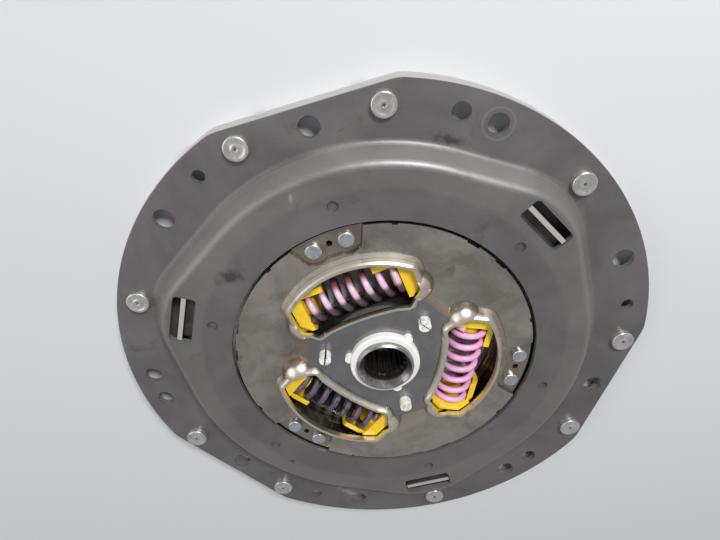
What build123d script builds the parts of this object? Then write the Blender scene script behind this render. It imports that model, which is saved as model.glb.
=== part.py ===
from build123d import *
import os
from math import atan2, cos, degrees, hypot, pi, radians, sin, tan

# Damper disc with a torque limiter, which sits between a flywheel and a gearbox input shaft.
# A dished cover is riveted at its rim to a back plate. Between the two, a disc spring and a
# pressure plate squeeze two friction linings on their carrier. The damper in the middle is
# riveted to the carrier: two side plates, three coil springs in plastic seats and a splined hub.
# Millimetres. Z is the axis, and zero is the front face of the cover's flange.

os.makedirs("parts", exist_ok=True)

# Directions about the axis, in degrees. Everything repeats three times.
repeats = 3
lobe_direction = 90.0
flat_direction = 30.0
damper_turn = 6.1
window_direction = flat_direction + damper_turn
arm_direction = window_direction + 60.0

# Sheets and friction pack, from the back plate forwards
cover_sheet = 3.1
back_sheet = 3.2
lining_thickness = 2.4
carrier_sheet = 1.6
pressure_sheet = 2.0
disc_spring_height = 1.8

rear_lining_z = -cover_sheet
carrier_z = rear_lining_z + lining_thickness
front_lining_z = carrier_z + carrier_sheet
pressure_z = front_lining_z + lining_thickness
disc_spring_z = pressure_z + pressure_sheet
dish_inside_z = disc_spring_z + disc_spring_height
dish_face_z = dish_inside_z + cover_sheet

# Cover plate
rim_radius = 145.0
flat_distance = 138.2
rim_depth = 10.0
rim_bend = 0.6
rim_corner = 20.0
# Direction from a lobe and width of each step in the rim's rear edge
rim_steps = [(49.5, 6.0), (68.5, 6.0), (85.5, 12.0)]
rim_step_depth = 2.2
dish_foot_radius = 116.5
dish_slope = 33.0
lobe_offset = 74.5
lobe_radius = 50.8
dish_top_bend = 5.0
dish_foot_bend = 3.5
cover_opening_radius = 82.1

# Rim rivets and rim holes
rivet_circle = 133.4
rivet_pair_angle = 15.0
rim_head_diameter = 12.0
rim_head_height = 3.0
rim_shank_diameter = 8.0
rim_tail_diameter = 11.0
rim_tail_height = 2.4
centre_mark_diameter = 1.8
# Angle after a lobe's rivet, radius from the axis and diameter of each hole
rim_holes = [
    (22.4, 133.5, 10.0),
    (30.1, 133.5, 9.0),
    (60.0, 128.4, 10.3),
    (85.1, 133.6, 6.5),
    (97.8, 133.7, 10.9),
]

# Dents pressed into the dish, and the slots for the pressure plate's tabs
dent_directions = [30.0, 90.0, 150.0, 210.0, 270.0, 332.5]
dent_circle = 92.9
dent_diameter = 5.6
dent_depth = 1.8
dent_slope = 12.0
gauge_hole_direction = 279.8
gauge_hole_circle = 99.2
gauge_hole_diameter = 3.0
slot_radius = 108.6
slot_length = 28.0
slot_width = 11.8
slot_corner = 2.0
tab_radius = 109.0
tab_length = 27.0
tab_sheet = 2.4
tab_clearance = 0.6
tab_below_face = 0.6

# Back plate and friction rings
back_inner_radius = 88.0
back_outer_radius = 121.0
ear_radius = 6.0
ear_root_radius = 14.0
lining_inner_radius = 88.5
lining_outer_radius = 106.0
carrier_inner_radius = 86.0
carrier_outer_radius = 107.0
carrier_ear_width = 24.0
carrier_ear_gap = 0.4
carrier_ear_root = 2.0
disc_spring_inner_radius = 90.0
disc_spring_outer_radius = 104.0
disc_spring_sheet = 1.2

# Side plates of the damper
side_sheet = 3.2
side_gap = 6.0
pad_join_above_middle = 0.8
front_plate_radius = 80.3
rear_plate_radius = 77.0
plateau_foot = 45.5
plateau_height = 3.0
plateau_slope = 53.0
plateau_reach = 56.0
lip_foot_width = 5.5
lip_height = 6.0
lip_top_width = 1.4
lip_edge = 0.9
pad_rivet_clearance = 7.0
pad_inner = 68.1
pad_inner_half = 13.5
pad_outer = 82.0
pad_outer_half = 20.4
pad_slope = 20.0
side_plate_hole = 34.8
edge_notch_depth = 0.8
# Angle from a window's middle and width of each shallow notch in a side plate's edge
edge_notches = [(-53.5, 7.0), (-24.5, 3.0), (24.5, 3.0), (53.5, 7.0)]

pad_join_z = front_lining_z + side_sheet
middle_z = pad_join_z - pad_join_above_middle
annulus_top = side_gap / 2 + side_sheet
plateau_top = annulus_top + plateau_height
lip_top = annulus_top + lip_height

# Stop rivets, one pair and a locating hole at each pad
stop_circle = 74.3
stop_angle = 6.68
stop_head_diameter = 8.3
stop_head_height = 2.5
stop_shank_diameter = 6.0
stop_tail_height = 2.3
locating_hole_diameter = 3.2

# Windows, drawn with X along the radius through the middle and Y across it
window_inner = 32.3
window_inner_side = 30.8
window_inner_half = 19.2
window_corner_radial = 28.8
window_corner_half = 25.0
window_end_inner = 37.0
window_half = 33.0
window_outer = 60.8
window_end_outer = 48.6
window_rounding = 2.4

# Hoods at the windows' ends, over the knob that each spring seat turns on
knob_radial = 37.0
knob_across = 31.5
knob_radius = 4.5
knob_half_height = 6.8
hood_across = 30.5
hood_radius = 10.2
hood_sink = 2.8
hood_sheet = 2.2
hood_foot_angle = -15.0

# Coil springs and their seats
spring_offset = 43.0
spring_outer_diameter = 21.0
spring_wire = 3.4
spring_length = 52.0
spring_turns = 6.8
steps_per_turn = 15
wire_sides = 8
seat_clearance = 0.35
seat_half_height = 8.4
seat_outer_diameter = 27.0
seat_arm_reach = 12.5
seat_arm_half_height = 6.8
seat_boss_diameter = 12.0
seat_boss_length = 5.0
seat_boss_root = 1.0
seat_bore_clearance = 0.4

# Hub
hub_flange_clearance = 0.5
hub_radius = 15.2
hub_front_z = 19.6
hub_back_z = -9.4
hub_edge = 0.8
arm_reach = 70.0
flank_clearance = 0.35
spline_teeth = 21
spline_root_diameter = 23.6
spline_tip_diameter = 21.4
spline_tip_share = 0.32
spline_root_share = 0.64
pilot_diameter = 24.0
pilot_length = 5.0
mouth_diameter = 28.0
mouth_depth = 4.0

# Bushes, washers and split pins
bush_clearance = 0.1
bush_ring_diameter = 37.4
bush_ring_height = 4.0
bush_ring_edge = 1.0
bush_nub_radius = 21.6
bush_nub_width = 5.0
bush_nub_height = 2.6
washer_inner_clearance = 0.6
washer_outer_diameter = 62.0
washer_lobe_reach = 3.0
pin_circle = 32.3
pin_diameter = 6.4
pin_height = 5.2
pin_slot = 1.0
rear_collar_diameter = 46.0
rear_collar_thickness = 1.2
rear_washer_gap = 1.0
friction_washer_thickness = 2.0
cone_washer_sheet = 0.8


def polar(radius, angle):
    """Point at a radius and an angle in degrees."""
    return (radius * cos(radians(angle)), radius * sin(radians(angle)))


window_directions = [window_direction + turn * 360 / repeats for turn in range(repeats)]


def three_turns(direction):
    """The three places about the axis that start at a direction."""
    return PolarLocations(0, repeats, start_angle=direction)


def rim_outline(inset):
    """Round rim with its three flats, set in from the outside."""
    with BuildSketch() as outline:
        Circle(rim_radius - inset)
        with three_turns(flat_direction):
            with Locations((flat_distance - inset + rim_radius / 2, 0)):
                Rectangle(rim_radius, 2 * rim_radius, mode=Mode.SUBTRACT)
        fillet(outline.vertices(), radius=rim_corner - inset)
    return outline.sketch


def dish_outline(inset):
    """Foot of the dish: a circle drawn out to three soft lobes."""
    with BuildSketch() as outline:
        Circle(dish_foot_radius - inset)
        with PolarLocations(lobe_offset, repeats, start_angle=lobe_direction):
            Circle(lobe_radius - inset)
        make_hull()
    return outline.sketch


def rivet_angles():
    """Directions of the nine rim rivets: one at each lobe and a pair at each flat."""
    for turn in range(repeats):
        swing = turn * 360 / repeats
        yield lobe_direction + swing
        yield flat_direction - rivet_pair_angle + swing
        yield flat_direction + rivet_pair_angle + swing


def window_outline(grow):
    """Window for one spring, along X, grown outwards or (below zero) inwards."""
    with BuildSketch() as outline:
        with BuildLine():
            ends = []
            for side in (1, -1):
                ends.append([
                    (window_inner_side, side * window_inner_half),
                    (window_corner_radial, side * window_corner_half),
                    (window_end_inner, side * window_half),
                    (window_end_outer, side * window_half),
                ])
            ThreePointArc(ends[0][0], (window_inner, 0), ends[1][0])
            Polyline(*ends[0])
            Polyline(*ends[1])
            ThreePointArc(ends[0][-1], (window_outer, 0), ends[1][-1])
        make_face()
        fillet(outline.vertices(), radius=window_rounding)
        if grow:
            offset(amount=grow)
    return outline.sketch


def knobs(radius):
    """Round knobs, or pockets for them, at both ends of a window."""
    with BuildSketch() as outline:
        for side in (1, -1):
            with Locations((knob_radial, side * knob_across)):
                Circle(radius)
    return outline.sketch


def pad_outline():
    """Flat for a pair of stop rivets, open towards the plate's edge."""
    with BuildSketch() as outline:
        with BuildLine():
            Polyline((pad_inner, -pad_inner_half), (pad_outer, -pad_outer_half),
                     (pad_outer, pad_outer_half), (pad_inner, pad_inner_half), close=True)
        make_face()
        for side in (1, -1):
            with Locations(polar(stop_circle, side * stop_angle)):
                Circle(pad_rivet_clearance)
    return outline.sketch


def pad_holes():
    """Holes in every sheet at a pad: two for the stop rivets and the locating hole between them."""
    with BuildSketch() as holes:
        for swing in (-stop_angle, stop_angle):
            with PolarLocations(stop_circle, repeats, start_angle=window_direction + swing):
                Circle(stop_shank_diameter / 2)
        with PolarLocations(stop_circle, repeats, start_angle=window_direction):
            Circle(locating_hole_diameter / 2)
    return holes.sketch


def raised_form(plate_radius, pad_step, drop):
    """Block with the outer form of a side plate on top, or its inner form when dropped."""
    level = annulus_top - drop
    with BuildPart() as form:
        with BuildSketch(Plane.XY.offset(-side_sheet)):
            Circle(plate_radius + drop)
        extrude(amount=level + side_sheet)
        with BuildSketch(Plane.XY.offset(level)):
            RegularPolygon(plateau_foot, 3, major_radius=False, rotation=arm_direction - 60)
            Circle(plateau_reach, mode=Mode.INTERSECT)
        extrude(amount=plateau_height, taper=plateau_slope)
        for direction in window_directions:
            with BuildSketch(Plane.XY.offset(level)):
                with Locations(Rotation(0, 0, direction)):
                    add(window_outline(lip_foot_width))
            with BuildSketch(Plane.XY.offset(level + lip_height - lip_edge)):
                with Locations(Rotation(0, 0, direction)):
                    add(window_outline(lip_top_width + lip_edge))
            with BuildSketch(Plane.XY.offset(level + lip_height)):
                with Locations(Rotation(0, 0, direction)):
                    add(window_outline(lip_top_width))
            loft(ruled=True)
        for direction in window_directions:
            for side in (1, -1):
                reach = hypot(knob_radial, hood_across)
                swing = side * degrees(atan2(hood_across, knob_radial))
                radius = hood_radius - (hood_sheet if drop else 0)
                with Locations((*polar(reach, direction + swing), annulus_top - hood_sink)):
                    Sphere(radius, arc_size1=hood_foot_angle, align=(Align.CENTER, Align.CENTER, Align.NONE))
        with BuildSketch(Plane.XY.offset(level - pad_step)):
            with three_turns(window_direction):
                add(pad_outline())
        extrude(amount=pad_step + lip_height, taper=-pad_slope, mode=Mode.SUBTRACT)
    return form.part


def side_plate(plate_radius, pad_step):
    """Pressed plate over the springs, facing up, with the middle of the damper at zero."""
    with BuildPart() as plate:
        add(raised_form(plate_radius, pad_step, 0))
        add(raised_form(plate_radius, pad_step, side_sheet), mode=Mode.SUBTRACT)
        with BuildSketch(Plane.XY.offset(-side_sheet)):
            with three_turns(window_direction):
                add(window_outline(0))
            Circle(side_plate_hole / 2)
            with PolarLocations(pin_circle, repeats, start_angle=arm_direction):
                Circle(pin_diameter / 2)
            add(pad_holes())
            for angle, width in edge_notches:
                with PolarLocations(plate_radius, repeats, start_angle=window_direction + angle):
                    Rectangle(2 * edge_notch_depth, width)
        extrude(amount=lip_top + 2 * side_sheet, mode=Mode.SUBTRACT)
    return plate.part


def save(part, name):
    """Label a finished piece and write it under its own name."""
    part.label = name
    export_step(part, f"parts/{name}.step")
    print(name, round(part.volume / 1000, 2), "cm3")


# Inside of the dish, taken out of the cover below
dish_shrink = dish_face_z * tan(radians(dish_slope))
dish_inset = cover_sheet * (1 - sin(radians(dish_slope))) / cos(radians(dish_slope))
with BuildPart() as dish_inside:
    with BuildSketch(Plane.XY.offset(-cover_sheet)):
        add(dish_outline(dish_inset))
    with BuildSketch(Plane.XY.offset(dish_inside_z)):
        add(dish_outline(dish_inset + dish_shrink))
    loft(ruled=True)
    fillet(dish_inside.faces().sort_by(Axis.Z)[-1].edges(), radius=dish_top_bend - cover_sheet)

# Cover plate: flange with a turned-back rim, dish, slots, holes and pressed dents
with BuildPart() as cover_plate:
    with BuildSketch(Plane.XY.offset(-rim_depth)):
        add(rim_outline(0))
    extrude(amount=rim_depth)
    fillet(cover_plate.faces().sort_by(Axis.Z)[-1].edges(), radius=rim_bend)
    with BuildSketch(Plane.XY.offset(-rim_depth)):
        add(rim_outline(cover_sheet))
    extrude(amount=rim_depth - cover_sheet, mode=Mode.SUBTRACT)
    with BuildSketch(Plane.XY):
        add(dish_outline(0))
    with BuildSketch(Plane.XY.offset(dish_face_z)):
        add(dish_outline(dish_shrink))
    loft(ruled=True)
    dish_foot = [edge for edge in cover_plate.edges().filter_by_position(Axis.Z, -0.01, 0.01)
                 if hypot(edge.center().X, edge.center().Y) < (rivet_circle + dish_foot_radius) / 2]
    dish_top = cover_plate.faces().sort_by(Axis.Z)[-1].edges()
    fillet(dish_foot, radius=dish_foot_bend)
    fillet(dish_top, radius=dish_top_bend)
    add(dish_inside.part, mode=Mode.SUBTRACT)
    with BuildSketch(Plane.XY.offset(-cover_sheet)):
        Circle(cover_opening_radius)
        for angle, radius, diameter in rim_holes:
            with PolarLocations(radius, repeats, start_angle=lobe_direction + angle):
                Circle(diameter / 2)
        for angle in rivet_angles():
            with Locations(polar(rivet_circle, angle)):
                Circle(rim_shank_diameter / 2)
        with PolarLocations(slot_radius, repeats, start_angle=lobe_direction):
            RectangleRounded(slot_width, slot_length, slot_corner)
        with PolarLocations(tab_radius, repeats, start_angle=lobe_direction):
            Rectangle(tab_sheet + 2 * tab_clearance, tab_length + 2 * tab_clearance)
        with Locations(polar(gauge_hole_circle, gauge_hole_direction)):
            Circle(gauge_hole_diameter / 2)
    extrude(amount=dish_face_z + 2 * cover_sheet, mode=Mode.SUBTRACT)
    with BuildSketch(Plane.XY.offset(dish_face_z)):
        for direction in dent_directions:
            with Locations(polar(dent_circle, direction)):
                Circle(dent_diameter / 2)
    extrude(amount=-dent_depth, taper=dent_slope, mode=Mode.SUBTRACT)
    with BuildSketch(Plane.XY.offset(-rim_depth)):
        for angle, width in rim_steps:
            with PolarLocations(rim_radius, repeats, start_angle=lobe_direction + angle):
                Rectangle(2 * (rim_radius - flat_distance + cover_sheet), width)
    extrude(amount=rim_step_depth, mode=Mode.SUBTRACT)
save(cover_plate.part, "cover_plate")

# Back plate: a flat ring with nine ears out to the rim rivets
back_z = -cover_sheet - back_sheet
with BuildPart() as back_plate:
    with BuildSketch(Plane.XY.offset(back_z)):
        Circle(back_outer_radius)
    extrude(amount=back_sheet)
    for angle in rivet_angles():
        with BuildSketch(Plane.XY.offset(back_z)):
            with Locations(polar(rivet_circle, angle)):
                Circle(ear_radius)
            with Locations(polar(back_outer_radius - ear_root_radius, angle)):
                Circle(ear_root_radius)
            make_hull()
        extrude(amount=back_sheet)
    with BuildSketch(Plane.XY.offset(back_z)):
        Circle(back_inner_radius)
        for angle in rivet_angles():
            with Locations(polar(rivet_circle, angle)):
                Circle(rim_shank_diameter / 2)
    extrude(amount=back_sheet, mode=Mode.SUBTRACT)
save(back_plate.part, "back_plate")

# Rim rivets: a turned head with a centre mark, a shank through both plates and a set tail
with BuildPart() as rim_rivet:
    with BuildSketch(Plane.XZ):
        with BuildLine():
            Polyline(
                (0, back_z - rim_tail_height),
                (rim_tail_diameter / 2 - 1, back_z - rim_tail_height),
                (rim_tail_diameter / 2, back_z - rim_tail_height / 2),
                (rim_tail_diameter / 2, back_z),
                (rim_shank_diameter / 2, back_z),
                (rim_shank_diameter / 2, 0),
                (rim_head_diameter / 2, 0),
                (rim_head_diameter / 2, rim_head_height - 0.5),
                (rim_head_diameter / 2 - 0.5, rim_head_height),
                (centre_mark_diameter / 2, rim_head_height),
                (0, rim_head_height - centre_mark_diameter / 2),
                close=True,
            )
        make_face()
    revolve(axis=Axis.Z)
for number, angle in enumerate(rivet_angles(), start=1):
    save(rim_rivet.part.moved(Location((*polar(rivet_circle, angle), 0))), f"rim_rivet_{number}")

# Linings and their carrier, whose three ears reach in to the stop rivets
for name, bottom in (("rear_lining", rear_lining_z), ("front_lining", front_lining_z)):
    with BuildPart() as lining:
        with BuildSketch(Plane.XY.offset(bottom)):
            Circle(lining_outer_radius)
            Circle(lining_inner_radius, mode=Mode.SUBTRACT)
        extrude(amount=lining_thickness)
    save(lining.part, name)

with BuildPart() as lining_carrier:
    with BuildSketch(Plane.XY.offset(carrier_z)):
        Circle(carrier_outer_radius)
        Circle(carrier_inner_radius, mode=Mode.SUBTRACT)
        ear_inner = pad_inner + carrier_ear_gap
        ear_outer = carrier_inner_radius + carrier_ear_root
        with three_turns(window_direction):
            with Locations(((ear_inner + ear_outer) / 2, 0)):
                Rectangle(ear_outer - ear_inner, carrier_ear_width)
        add(pad_holes(), mode=Mode.SUBTRACT)
    extrude(amount=carrier_sheet)
save(lining_carrier.part, "lining_carrier")

# Pressure plate, whose bent-up tabs stand in the cover's slots and keep it from turning
with BuildPart() as pressure_plate:
    with BuildSketch(Plane.XY.offset(pressure_z)):
        Circle(lining_outer_radius)
        with PolarLocations(tab_radius / 2, repeats, start_angle=lobe_direction):
            Rectangle(tab_radius + tab_sheet, tab_length)
        Circle(lining_inner_radius, mode=Mode.SUBTRACT)
    extrude(amount=pressure_sheet)
    with BuildSketch(Plane.XY.offset(pressure_z)):
        with PolarLocations(tab_radius, repeats, start_angle=lobe_direction):
            Rectangle(tab_sheet, tab_length)
    extrude(amount=dish_face_z - tab_below_face - pressure_z)
save(pressure_plate.part, "pressure_plate")

# Disc spring: a shallow cone between the pressure plate and the dish
with BuildPart() as disc_spring:
    with BuildSketch(Plane.XZ):
        with BuildLine():
            Polyline(
                (disc_spring_inner_radius, disc_spring_z),
                (disc_spring_outer_radius, dish_inside_z - disc_spring_sheet),
                (disc_spring_outer_radius, dish_inside_z),
                (disc_spring_inner_radius, disc_spring_z + disc_spring_sheet),
                close=True,
            )
        make_face()
    revolve(axis=Axis.Z)
save(disc_spring.part, "disc_spring")

# Side plates: the rear one faces down and its pads reach further in, to meet the front ones
pad_face = pad_join_above_middle + side_sheet
front_plate = side_plate(front_plate_radius, annulus_top - pad_face)
save(front_plate.moved(Location((0, 0, middle_z))), "front_side_plate")
rear_pad_face = side_sheet - pad_join_above_middle
rear_plate = side_plate(rear_plate_radius, annulus_top - rear_pad_face)
rear_plate = rear_plate.mirror(Plane.XY)
save(rear_plate.moved(Location((0, 0, middle_z))), "rear_side_plate")

# Stop rivets, through both side plates and the lining carrier
pad_top_z = pad_join_z + side_sheet
with BuildPart() as stop_rivet:
    with BuildSketch(Plane.XZ):
        with BuildLine():
            Polyline(
                (0, carrier_z - stop_tail_height),
                (stop_head_diameter / 2 - 0.8, carrier_z - stop_tail_height),
                (stop_head_diameter / 2, carrier_z - stop_tail_height / 2),
                (stop_head_diameter / 2, carrier_z),
                (stop_shank_diameter / 2, carrier_z),
                (stop_shank_diameter / 2, pad_top_z),
                (stop_head_diameter / 2, pad_top_z),
                (stop_head_diameter / 2, pad_top_z + stop_head_height - 0.6),
                (stop_head_diameter / 2 - 0.6, pad_top_z + stop_head_height),
                (0, pad_top_z + stop_head_height),
                close=True,
            )
        make_face()
    revolve(axis=Axis.Z)
number = 0
for turn in range(repeats):
    for side in (-1, 1):
        number += 1
        place = polar(stop_circle, window_direction + turn * 360 / repeats + side * stop_angle)
        save(stop_rivet.part.moved(Location((*place, 0))), f"stop_rivet_{number}")

# Hub: boss with an internal spline, and a flange whose three arms drive the spring seats
hub_flange_thickness = side_gap - 2 * hub_flange_clearance
tooth_pitch = 360 / spline_teeth
gap_half_angle = tooth_pitch * (1 - spline_tip_share) / 2
root_half_angle = tooth_pitch * (1 - spline_root_share) / 2
gap_foot_radius = spline_tip_diameter / 2 * cos(radians(gap_half_angle)) ** 2
with BuildPart() as hub:
    with BuildSketch(Plane.XY.offset(hub_back_z)):
        Circle(hub_radius)
    extrude(amount=hub_front_z - hub_back_z)
    chamfer(hub.faces().sort_by(Axis.Z)[-1].edges(), length=hub_edge)
    chamfer(hub.faces().sort_by(Axis.Z)[0].edges(), length=hub_edge)
    with BuildSketch(Plane.XY.offset(middle_z - hub_flange_thickness / 2)):
        Circle(arm_reach)
        with three_turns(window_direction):
            add(window_outline(flank_clearance), mode=Mode.SUBTRACT)
            add(knobs(knob_radius + flank_clearance), mode=Mode.SUBTRACT)
            with Locations((arm_reach, 0)):
                Rectangle(2 * (arm_reach - window_end_outer), 2 * (window_half + flank_clearance),
                          mode=Mode.SUBTRACT)
    extrude(amount=hub_flange_thickness)
    with BuildSketch(Plane.XY.offset(hub_back_z)):
        Circle(spline_tip_diameter / 2)
        for tooth in range(spline_teeth):
            middle = tooth * tooth_pitch
            with BuildLine():
                Polyline(
                    polar(gap_foot_radius, middle - gap_half_angle),
                    polar(spline_root_diameter / 2, middle - root_half_angle),
                    polar(spline_root_diameter / 2, middle + root_half_angle),
                    polar(gap_foot_radius, middle + gap_half_angle),
                    close=True,
                )
            make_face()
    extrude(amount=hub_front_z - hub_back_z, mode=Mode.SUBTRACT)
    with BuildSketch(Plane.XY.offset(hub_front_z - mouth_depth - pilot_length)):
        Circle(pilot_diameter / 2)
    extrude(amount=mouth_depth + pilot_length, mode=Mode.SUBTRACT)
    with BuildSketch(Plane.XY.offset(hub_front_z)):
        Circle(mouth_diameter / 2)
    extrude(amount=-mouth_depth, taper=degrees(atan2((mouth_diameter - pilot_diameter) / 2, mouth_depth)),
            mode=Mode.SUBTRACT)
save(hub.part, "hub")

# Coil spring: an eight-sided wire along a helix of straight steps, ground flat at both ends
coil_radius = (spring_outer_diameter - spring_wire) / 2
pitch = spring_length / spring_turns
step_count = int(steps_per_turn * (spring_turns + 1))
helix = []
for step in range(step_count + 1):
    along = (step / step_count - 0.5) * (spring_length + pitch)
    swing = along / pitch * 2 * pi
    helix.append((coil_radius * cos(swing), coil_radius * sin(swing), along))
with BuildPart() as coil:
    with BuildLine() as wire_path:
        Polyline(*helix)
    with BuildSketch(Plane(origin=wire_path.line @ 0, z_dir=wire_path.line % 0)):
        RegularPolygon(spring_wire / 2, wire_sides, major_radius=False)
    sweep(path=wire_path.line, transition=Transition.RIGHT)
    with BuildSketch(Plane.XY.offset(-spring_length / 2)):
        Circle(spring_outer_diameter)
    extrude(amount=spring_length, mode=Mode.INTERSECT)

# Spring seat at the far end of a window: end block, arm over the spring, boss inside it
seat_face = spring_length / 2
spring_axis = Plane(origin=(spring_offset, seat_face, 0), x_dir=(1, 0, 0), z_dir=(0, 1, 0))
with BuildPart() as seat:
    with BuildSketch(Plane.XY.offset(-seat_half_height)):
        add(window_outline(-seat_clearance))
        with Locations((window_outer / 2, seat_face + window_half / 2)):
            Rectangle(2 * window_outer, window_half, mode=Mode.INTERSECT)
    extrude(amount=2 * seat_half_height)
    with BuildSketch(spring_axis.offset(-seat_face)):
        Circle(seat_outer_diameter / 2)
    extrude(amount=2 * seat_face + window_half, mode=Mode.INTERSECT)
    with BuildSketch(Plane.XY.offset(-knob_half_height)):
        with Locations((knob_radial, knob_across)):
            Circle(knob_radius)
        with Locations((knob_radial, seat_face - window_half)):
            Rectangle(4 * knob_radius, 2 * window_half, mode=Mode.SUBTRACT)
    extrude(amount=2 * knob_half_height)

with BuildPart() as seat_arm:
    with BuildSketch(Plane.XY.offset(-seat_arm_half_height)):
        add(window_outline(-seat_clearance))
        with Locations((spring_offset + window_outer / 2, seat_face)):
            Rectangle(window_outer, 2 * seat_arm_reach, mode=Mode.INTERSECT)
    extrude(amount=2 * seat_arm_half_height)
    with BuildSketch(spring_axis.offset(-2 * seat_arm_reach)):
        Circle(seat_outer_diameter / 2)
    extrude(amount=4 * seat_arm_reach, mode=Mode.INTERSECT)
    with BuildSketch(spring_axis.offset(-2 * seat_arm_reach)):
        Circle(spring_outer_diameter / 2 + seat_bore_clearance)
    extrude(amount=4 * seat_arm_reach, mode=Mode.SUBTRACT)

with BuildPart() as spring_seat:
    add(seat.part)
    add(seat_arm.part)
    with BuildSketch(spring_axis.offset(-seat_boss_length)):
        Circle(seat_boss_diameter / 2)
    extrude(amount=seat_boss_length + seat_boss_root)

across = Location((spring_offset, 0, 0), (90, 0, 0))
for turn in range(repeats):
    place = Location((0, 0, middle_z), (0, 0, window_direction + turn * 360 / repeats))
    save(coil.part.moved(place * across), f"damper_spring_{turn + 1}")
    save(spring_seat.part.mirror(Plane.XZ).moved(place), f"spring_seat_{2 * turn + 1}")
    save(spring_seat.part.moved(place), f"spring_seat_{2 * turn + 2}")

# Front bush: a ring with three nubs on the front plate, and its sleeve down to the hub flange
plate_face_z = middle_z + plateau_top
plate_inside_z = plate_face_z - side_sheet
flange_top_z = middle_z + hub_flange_thickness / 2
with BuildPart() as front_bush:
    with BuildSketch(Plane.XY.offset(plate_face_z)):
        Circle(bush_ring_diameter / 2)
    extrude(amount=bush_ring_height)
    fillet(front_bush.faces().sort_by(Axis.Z)[-1].edges(), radius=bush_ring_edge)
    nub_centre = bush_nub_radius - bush_nub_width / 2
    with BuildSketch(Plane.XY.offset(plate_face_z)):
        with PolarLocations(nub_centre / 2, repeats, start_angle=arm_direction):
            Rectangle(nub_centre, bush_nub_width)
        with PolarLocations(nub_centre, repeats, start_angle=arm_direction):
            Circle(bush_nub_width / 2)
    extrude(amount=bush_nub_height)
    with BuildSketch(Plane.XY.offset(flange_top_z)):
        Circle(side_plate_hole / 2)
    extrude(amount=plate_face_z - flange_top_z)
    with BuildSketch(Plane.XY.offset(flange_top_z)):
        Circle(hub_radius + bush_clearance)
    extrude(amount=plate_face_z - flange_top_z + bush_ring_height, mode=Mode.SUBTRACT)
save(front_bush.part, "front_bush")

# Thrust washer inside the front plate, whose split pins snap through the plate
with BuildPart() as pin_washer:
    with BuildSketch(Plane.XY.offset(flange_top_z)):
        Circle(washer_outer_diameter / 2)
        with PolarLocations(pin_circle, repeats, start_angle=arm_direction):
            Circle(pin_diameter / 2 + washer_lobe_reach)
        Circle(side_plate_hole / 2 + washer_inner_clearance, mode=Mode.SUBTRACT)
    extrude(amount=plate_inside_z - flange_top_z)
    with BuildSketch(Plane.XY.offset(plate_inside_z)):
        with PolarLocations(pin_circle, repeats, start_angle=arm_direction):
            Circle(pin_diameter / 2)
            Rectangle(pin_slot, pin_diameter, mode=Mode.SUBTRACT)
    extrude(amount=side_sheet + pin_height)
save(pin_washer.part, "pin_washer")

# Rear bush: sleeve in the rear plate, with a collar against the hub flange
flange_back_z = middle_z - hub_flange_thickness / 2
rear_inside_z = middle_z - plateau_top + side_sheet
rear_face_z = middle_z - plateau_top
with BuildPart() as rear_bush:
    with BuildSketch(Plane.XY.offset(rear_face_z)):
        Circle(side_plate_hole / 2)
    extrude(amount=flange_back_z - rear_face_z)
    with BuildSketch(Plane.XY.offset(flange_back_z)):
        Circle(rear_collar_diameter / 2)
    extrude(amount=-rear_collar_thickness)
    with BuildSketch(Plane.XY.offset(rear_face_z)):
        Circle(hub_radius + bush_clearance)
    extrude(amount=flange_back_z - rear_face_z, mode=Mode.SUBTRACT)
save(rear_bush.part, "rear_bush")

# Friction washer on the hub flange, and the cone washer that presses it from the rear plate
friction_back_z = flange_back_z - friction_washer_thickness
washer_inner_radius = rear_collar_diameter / 2 + rear_washer_gap
with BuildPart() as friction_washer:
    with BuildSketch(Plane.XY.offset(friction_back_z)):
        Circle(washer_outer_diameter / 2)
        Circle(washer_inner_radius, mode=Mode.SUBTRACT)
    extrude(amount=friction_washer_thickness)
save(friction_washer.part, "friction_washer")

with BuildPart() as cone_washer:
    with BuildSketch(Plane.XZ):
        with BuildLine():
            Polyline(
                (washer_inner_radius, friction_back_z - cone_washer_sheet),
                (washer_outer_diameter / 2, rear_inside_z),
                (washer_outer_diameter / 2, rear_inside_z + cone_washer_sheet),
                (washer_inner_radius, friction_back_z),
                close=True,
            )
        make_face()
    revolve(axis=Axis.Z)
save(cone_washer.part, "cone_washer")
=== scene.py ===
# %% [markdown]
# Clutch damper disc. It sits between a flywheel and a gearbox shaft: a dished steel cover is
# riveted at its rim to a back plate, and three coil springs in yellow seats soften every jolt
# before it reaches the splined hub. The shapes of the plates come from the CAD frame, in metres,
# with Z along the axis and zero at the front face of the cover's flange. This lesson gives them
# their finishes, and models anew what a CAD solid only hints at: round spring wire and turned rivets.

# %% Load the frame
import math
from types import SimpleNamespace

import bpy
from mathutils import Matrix, Vector


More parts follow.
